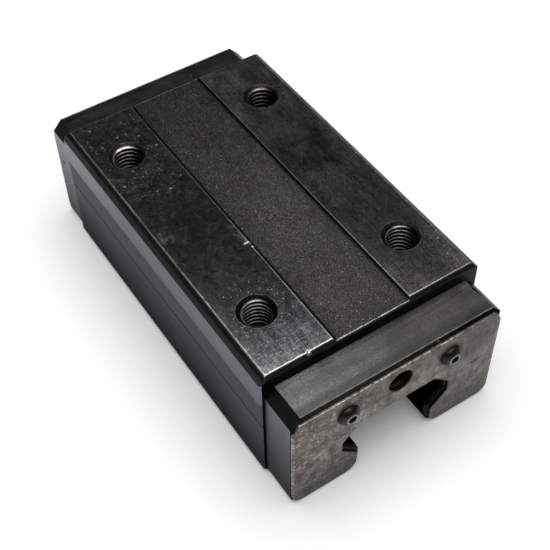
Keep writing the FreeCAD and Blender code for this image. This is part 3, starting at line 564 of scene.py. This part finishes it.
# ------------------------------------------------------------------ end plates
def plate_steel():
    m = Net("plate_steel")
    ax, ay = m.abs(m.x), m.abs(m.y)
    h = m.sub(TOP, m.z)
    flat = m.rise(m.abs(m.nx), 0.95, 0.99)
    cloud = m.noise(0.09, detail=4.0, rough=0.6)
    patch = m.noise(0.32, detail=5.0, rough=0.65)
    fine = m.noise(1.7, detail=4.0, rough=0.65)
    smear = m.noise(0.5, 0.9, 0.18, detail=4.0, rough=0.6, warp=0.6)
    scratch = m.noise(1.0, 0.55, 2.1, detail=5.0, rough=0.75, warp=1.1)
    worn_left = m.rise(m.y, 4.0, -10.0)
    k = m.mul(m.remap(cloud, 0.3, 0.7, 0.70, 1.28), m.remap(patch, 0.32, 0.68, 0.48, 1.56), m.mixf(worn_left, m.remap(fine, 0.36, 0.64, 0.76, 1.25), m.remap(fine, 0.36, 0.64, 0.56, 1.52)), m.remap(smear, 0.3, 0.7, 0.74, 1.28))
    k = m.mul(k, m.mixf(worn_left, m.remap(scratch, 0.36, 0.66, 0.84, 1.2), m.remap(scratch, 0.38, 0.66, 0.44, 1.92)), m.remap(m.y, -28.0, 24.0, 0.93, 0.90))
    color = m.mixc(m.remap(patch, 0.35, 0.65, 0.0, 1.0), (0.122, 0.106, 0.097), (0.142, 0.130, 0.117))
    color = m.scaled(color, k)
    # painted shade: the plate is painted darker towards its foot
    color = m.scaled(color, m.remap(h, 24.0, 37.0, 1.0, 0.66))
    # duller by the right screw and at the foot of the left leg, rubbed over the arch and beside the left step
    dull = m.blot(m.sub(m.y, 21.5), m.sub(h, 11.5), 10.5, 8.0)
    foot = m.mul(m.rise(m.y, -6.0, -10.0), m.rise(h, 26.0, 34.0))
    arch = m.mul(m.span(h, 14.6, 19.0, 1.6), m.rise(ay, 16.0, 11.0))
    step = m.blot(m.add(m.y, 19.5), m.sub(h, 22.5), 8.0, 5.5)
    # a darker ring round each screw head: partly a painted shadow of the head, partly grime
    gy, gh = m.sub(ay, 14.0), m.sub(h, 11.2)
    round_head = m.rise(m.f("SQRT", m.add(m.mul(gy, gy), m.mul(gh, gh))), 3.9, 2.9)
    rubs = m.mul(m.add(1.0, m.mul(arch, 0.42), m.mul(step, 0.36)), m.mixf(dull, 1.0, 0.60), m.mixf(foot, 1.0, 0.66), m.mixf(round_head, 1.0, 0.60))
    color = m.scaled(color, rubs)
    rough = m.add(m.remap(patch, 0.3, 0.7, 0.40, 0.52), m.remap(fine, 0.3, 0.7, -0.03, 0.05))
    # small dark pits and a rubbed dark stain
    pits = m.mul(m.specks(0.8, 0.12, 0.3), flat)
    color = m.mixc(m.mul(pits, 0.6), color, (0.03, 0.026, 0.024))
    sy, sz = m.sub(m.y, 22.3), m.sub(h, 20.5)
    stain = m.rise(m.f("SQRT", m.add(m.mul(sy, sy, 0.45), m.mul(sz, sz, 2.4))), 1.35, 0.55)
    stain = m.mul(stain, m.rise(m.x, 0.0, 1.0), m.remap(fine, 0.38, 0.52, 0.35, 1.0))
    color = m.mixc(stain, color, (0.014, 0.013, 0.012))
    # painted shade: a dark ring round the grease port makes its shaded opening look wider
    qz = m.sub(m.z, TOP - 10.65)
    round_port = m.rise(m.f("SQRT", m.add(m.mul(m.y, m.y), m.mul(qz, qz))), 3.55, 3.22)
    color = m.mixc(m.mul(round_port, 0.92), color, (0.012, 0.011, 0.010))
    # light scuffs on the worn left leg
    scuff = m.top(m.specks(0.9, 0.26, 0.36, 1.0, 0.6), m.mul(m.specks(1.6, 0.26, 0.40), 0.9))
    scuff = m.mul(scuff, flat, m.rise(m.y, -9.0, -15.0), m.span(h, 15.0, 31.0, 4.0), m.remap(patch, 0.42, 0.58, 0.1, 1.0))
    color = m.mixc(m.mul(scuff, 0.6), color, (0.36, 0.345, 0.32))
    # rubbed light rim, rust along the top edge
    nick = m.noise(1.1, detail=4.0, rough=0.7)
    rim_top = m.mul(m.rise(h, 6.22, 6.0), m.remap(nick, 0.44, 0.56, 0.05, 1.0), m.remap(m.y, 13.0, 19.0, 1.0, 0.45))
    rim_side = m.mul(m.rise(ay, m.mixf(m.rise(m.y, -1.0, 1.0), 28.25, 27.4), 28.6), m.remap(nick, 0.45, 0.6, 0.0, 1.0))
    rust = m.remap(m.noise(0.14, 0.22, 0.14, detail=3.0), 0.45, 0.6, 0.0, 1.0)
    color = m.mixc(m.mul(rim_side, 0.75), color, (0.40, 0.385, 0.36))
    color = m.mixc(m.mul(rim_top, 0.8), color, m.mixc(rust, (0.52, 0.48, 0.44), (0.38, 0.26, 0.22)))
    rough = m.mixf(m.top(rim_top, rim_side), rough, 0.36)
    # painted shade: the plate's cut edges round the rail opening are painted near-black
    cut_shade = m.mul(m.rise(m.abs(m.nx), 0.6, 0.4), m.rise(ay, 19.5, 19.0), m.rise(h, 13.5, 14.0))
    color = m.mixc(cut_shade, color, (0.010, 0.0095, 0.009))
    height = m.add(m.mul(fine, 0.6), m.mul(patch, 0.8))
    return m.set(color=color, metal=m.remap(patch, 0.3, 0.7, 0.95, 0.8), rough=rough, normal=m.bump(height, 0.012, 0.7), spec=0.5)


# ------------------------------------------------------------------ small pieces
def screw_steel():
    m = Net("screw_steel")
    fine = m.noise(3.0, detail=3.0)
    patch = m.noise(0.9, detail=3.0)
    color = m.scaled((0.026, 0.025, 0.024), m.mul(m.remap(fine, 0.3, 0.7, 0.7, 1.4), m.remap(patch, 0.3, 0.7, 0.7, 1.3)))
    rub = m.mul(m.rise(m.abs(m.x), 58.85, 59.12), m.remap(patch, 0.45, 0.6, 0.0, 0.7))
    color = m.mixc(rub, color, (0.10, 0.097, 0.092))
    # worn edge round the socket
    dy, dz = m.sub(m.abs(m.y), 14.2), m.sub(m.z, TOP - 11.8)
    r = m.f("SQRT", m.add(m.mul(dy, dy), m.mul(dz, dz)))
    edge = m.mul(m.span(r, 1.15, 1.50, 0.12), m.rise(m.abs(m.nx), 0.7, 0.85), m.remap(patch, 0.38, 0.6, 0.5, 1.0))
    color = m.mixc(m.mul(edge, 0.85), color, (0.26, 0.25, 0.235))
    return m.set(color=color, metal=0.9, rough=m.remap(fine, 0.3, 0.7, 0.30, 0.44), normal=m.bump(fine, 0.008, 0.6))


def rubber():
    m = Net("seal_rubber")
    fine = m.noise(2.5, detail=4.0)
    patch = m.noise(0.4, detail=4.0)
    color = m.scaled((0.006, 0.006, 0.0062), m.mul(m.remap(patch, 0.3, 0.7, 0.7, 1.5), m.remap(fine, 0.3, 0.7, 0.8, 1.25)))
    return m.set(color=color, rough=m.remap(patch, 0.3, 0.7, 0.5, 0.68), normal=m.bump(fine, 0.02, 0.8), spec=0.15)


def moulded(name, color, rough):
    m = Net(name)
    fine = m.noise(2.0, detail=4.0)
    patch = m.noise(0.3, detail=4.0)
    wipe = m.noise(0.05, 1.2, 1.2, detail=3.0)
    c = m.scaled(color, m.mul(m.remap(patch, 0.3, 0.7, 0.75, 1.3), m.remap(wipe, 0.3, 0.7, 0.85, 1.15)))
    return m.set(color=c, rough=m.remap(patch, 0.3, 0.7, rough - 0.06, rough + 0.08), normal=m.bump(fine, 0.01, 0.7), spec=0.5)


def ball_steel():
    m = Net("ball_steel")
    patch = m.noise(0.6, detail=4.0)
    film = m.noise(0.25, detail=2.0)
    c = m.mixc(m.remap(film, 0.35, 0.65, 0.0, 1.0), (0.60, 0.60, 0.61), (0.48, 0.45, 0.40))
    c = m.scaled(c, m.remap(patch, 0.3, 0.7, 0.85, 1.08))
    return m.set(color=c, metal=1.0, rough=m.remap(patch, 0.3, 0.7, 0.10, 0.20), normal=m.bump(patch, 0.003, 0.5))


MATS = {
    "ground_steel": body_steel(),
    "cap_plastic": cap_plastic(),
    "plate_steel": plate_steel(),
    "screw_steel": screw_steel(),
    "seal_rubber": rubber(),
    "guide_plastic": moulded("guide_plastic", (0.05, 0.05, 0.05), 0.42),
    "retainer_plastic": moulded("retainer_plastic", (0.012, 0.012, 0.0125), 0.40),
    "ball_steel": ball_steel(),
}
for sub in frame["record"]["subparts"]:
    ob = NODES[sub["node"]]
    ob.data.materials.clear()
    ob.data.materials.append(MATS[sub["material_slot"]])

thread_mat = thread_steel()
for way_x, front_name in ((1, "front"), (-1, "rear")):
    for way_y, side_name in ((1, "right"), (-1, "left")):
        make_thread("%s_%s_thread" % (front_name, side_name), way_x * HOLE_X, way_y * HOLE_Y, thread_mat)


# ------------------------------------------------------------------ floor, light and camera
def floor():
    mesh = bpy.data.meshes.new("floor")
    s = 4.0
    mesh.from_pydata([(-s, -s, 0), (s, -s, 0), (s, s, 0), (-s, s, 0)], [], [(0, 1, 2, 3)])
    ob = bpy.data.objects.new("floor", mesh)
    scene.collection.objects.link(ob)
    mat = bpy.data.materials.new("floor_white")
    mat.use_nodes = True
    b = mat.node_tree.nodes["Principled BSDF"]
    b.inputs["Base Color"].default_value = (0.9, 0.9, 0.9, 1.0)
    b.inputs["Roughness"].default_value = 0.9
    b.inputs["Specular IOR Level"].default_value = 0.1
    b.inputs["Emission Color"].default_value = (1.0, 1.0, 1.0, 1.0)
    b.inputs["Emission Strength"].default_value = 0.12
    mesh.materials.append(mat)


floor()


def softbox(name, place, target, radius, watts, color=(1.0, 1.0, 1.0)):
    data = bpy.data.lights.new(name, "AREA")
    data.shape = "DISK"
    data.size = 2.0 * radius
    data.energy = watts
    data.color = color
    ob = bpy.data.objects.new(name, data)
    ob.location = place
    ob.rotation_mode = "QUATERNION"
    ob.rotation_quaternion = (Vector(target) - Vector(place)).to_track_quat("-Z", "Y")
    scene.collection.objects.link(ob)
    return ob


softbox("overhead", (0.0, 0.0, 1.35), (0.0, 0.0, 0.0), 0.90, 24.8)

world = bpy.data.worlds.new("studio")
scene.world = world
world.use_nodes = True
world.node_tree.nodes["Background"].inputs["Color"].default_value = (0.095, 0.097, 0.10, 1.0)
world.node_tree.nodes["Background"].inputs["Strength"].default_value = 1.0

cam_data = bpy.data.cameras.new("camera")
cam_data.lens = 71.183
cam_data.sensor_width = 36.0
cam_data.clip_start, cam_data.clip_end = 0.01, 20.0
cam = bpy.data.objects.new("camera", cam_data)
right = Vector((0.550846, 0.834479, -0.014593)).normalized()
back = Vector((0.544919, -0.346351, 0.763612)).normalized()
upward = back.cross(right).normalized()
cam.matrix_world = Matrix((
    (right.x, upward.x, back.x, 0.157801),
    (right.y, upward.y, back.y, -0.096252),
    (right.z, upward.z, back.z, 0.225437),
    (0.0, 0.0, 0.0, 1.0)))
scene.collection.objects.link(cam)
scene.camera = cam
scene.view_settings.view_transform = "Standard"
